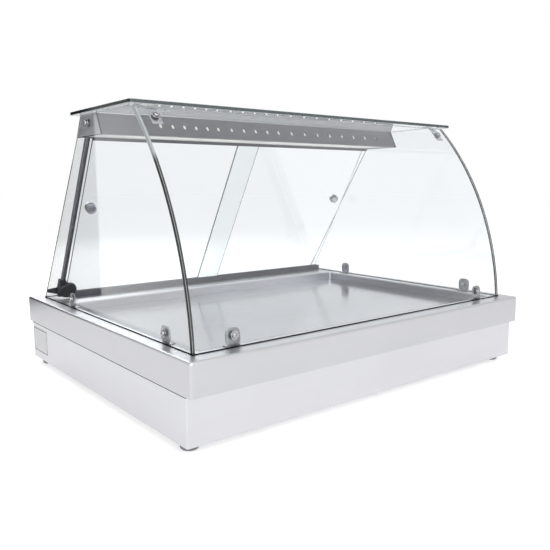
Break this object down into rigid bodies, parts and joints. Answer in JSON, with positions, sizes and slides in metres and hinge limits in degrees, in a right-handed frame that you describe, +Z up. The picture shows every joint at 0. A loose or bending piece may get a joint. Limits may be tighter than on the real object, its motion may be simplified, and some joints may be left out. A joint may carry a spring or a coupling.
{
  "type": "heated_display_case",
  "caption": "Counter-top heated display case: steel base with sunk hot plate, bent glass hood, lamp housing, and leaning glass doors that slide at the rear.",
  "frame": {"origin": "On the counter, at the middle of the base's outline, under the feet.", "axes": "+X along the case's width, to the right as the customer sees it, -Y towards the customer, +Y towards the operator, +Z up."},
  "size_m": [0.8, 0.673, 0.505],
  "materials": {
    "brushed_steel": "satin",
    "polished_steel": "polished",
    "galvanised_steel": "matte",
    "aluminium": "satin",
    "clear_glass": "gloss",
    "frosted_glass": "frosted",
    "black_plastic": "matte",
    "clear_plastic": "gloss",
    "white_plastic": "satin",
    "black_rubber": "matte",
    "mineral_board": "matte",
    "copper": "satin"
  },
  "bodies": {
    "case": {"lower_casing": "brushed_steel", "deck_pan": "brushed_steel", "hot_plate": "polished_steel", "heating_element_left": "polished_steel", "heating_element_right": "polished_steel", "element_straps": "galvanised_steel", "insulation_board": "mineral_board", "heat_shield_tray": "galvanised_steel", "bottom_plate": "galvanised_steel", "base_screws": "polished_steel", "foot_front_left": "black_rubber", "foot_front_right": "black_rubber", "foot_rear_left": "black_rubber", "foot_rear_right": "black_rubber", "side_glass_left": "clear_glass", "side_glass_right": "clear_glass", "front_glass": "clear_glass", "top_glass": "clear_glass", "glass_buffers": "clear_plastic", "side_brackets": "polished_steel", "front_brackets": "polished_steel", "top_clip_left": "polished_steel", "top_clip_right": "polished_steel", "glass_screws": "polished_steel", "glass_washers": "clear_plastic", "glass_nuts": "polished_steel", "housing_cover": "brushed_steel", "housing_cap_left": "brushed_steel", "housing_cap_right": "brushed_steel", "lamp_reflector": "aluminium", "lamp_left": "frosted_glass", "lamp_right": "frosted_glass", "lamp_holders": "white_plastic", "lamp_lens": "frosted_glass", "lamp_lead": "black_rubber", "lamp_conduit": "polished_steel", "conduit_foot": "black_plastic", "cable_boot": "black_rubber", "bottom_track": "aluminium", "top_track": "aluminium", "control_panel": "brushed_steel", "panel_screws": "polished_steel", "thermostat_body": "galvanised_steel", "thermostat_bulb": "copper", "heat_switch_body": "black_plastic", "lamp_switch_body": "black_plastic", "pilot_lamps": "clear_plastic", "mains_gland": "black_plastic", "gland_locknut": "black_plastic", "terminal_block": "white_plastic", "thermal_cutout": "white_plastic", "rating_plate": "aluminium"},
    "left_door": {"left_door_glass": "clear_glass", "left_door_knob": "polished_steel"},
    "right_door": {"right_door_glass": "clear_glass", "right_door_knob": "polished_steel"},
    "thermostat_dial": {"thermostat_knob": "black_plastic", "thermostat_spindle": "galvanised_steel"},
    "heat_rocker": {"heat_switch_rocker": "black_plastic"},
    "lamp_rocker": {"lamp_switch_rocker": "black_plastic"}
  },
  "joints": [
    {"name": "left_door_slide", "type": "slide", "parent": "case", "child": "left_door", "axis": [1, 0, 0], "range_m": [0, 0.3]},
    {"name": "right_door_slide", "type": "slide", "parent": "case", "child": "right_door", "axis": [1, 0, 0], "range_m": [-0.3, 0]},
    {"name": "thermostat_turn", "type": "hinge", "parent": "case", "child": "thermostat_dial", "pos_m": [-0.245, 0.325, 0.05], "axis": [0, -1, 0], "range_deg": [0, 300]},
    {"name": "heat_switch_tilt", "type": "hinge", "parent": "case", "child": "heat_rocker", "pos_m": [-0.16, 0.316, 0.05], "axis": [-1, 0, 0], "range_deg": [0, 20]},
    {"name": "lamp_switch_tilt", "type": "hinge", "parent": "case", "child": "lamp_rocker", "pos_m": [-0.11, 0.316, 0.05], "axis": [-1, 0, 0], "range_deg": [0, 20]}
  ]
}
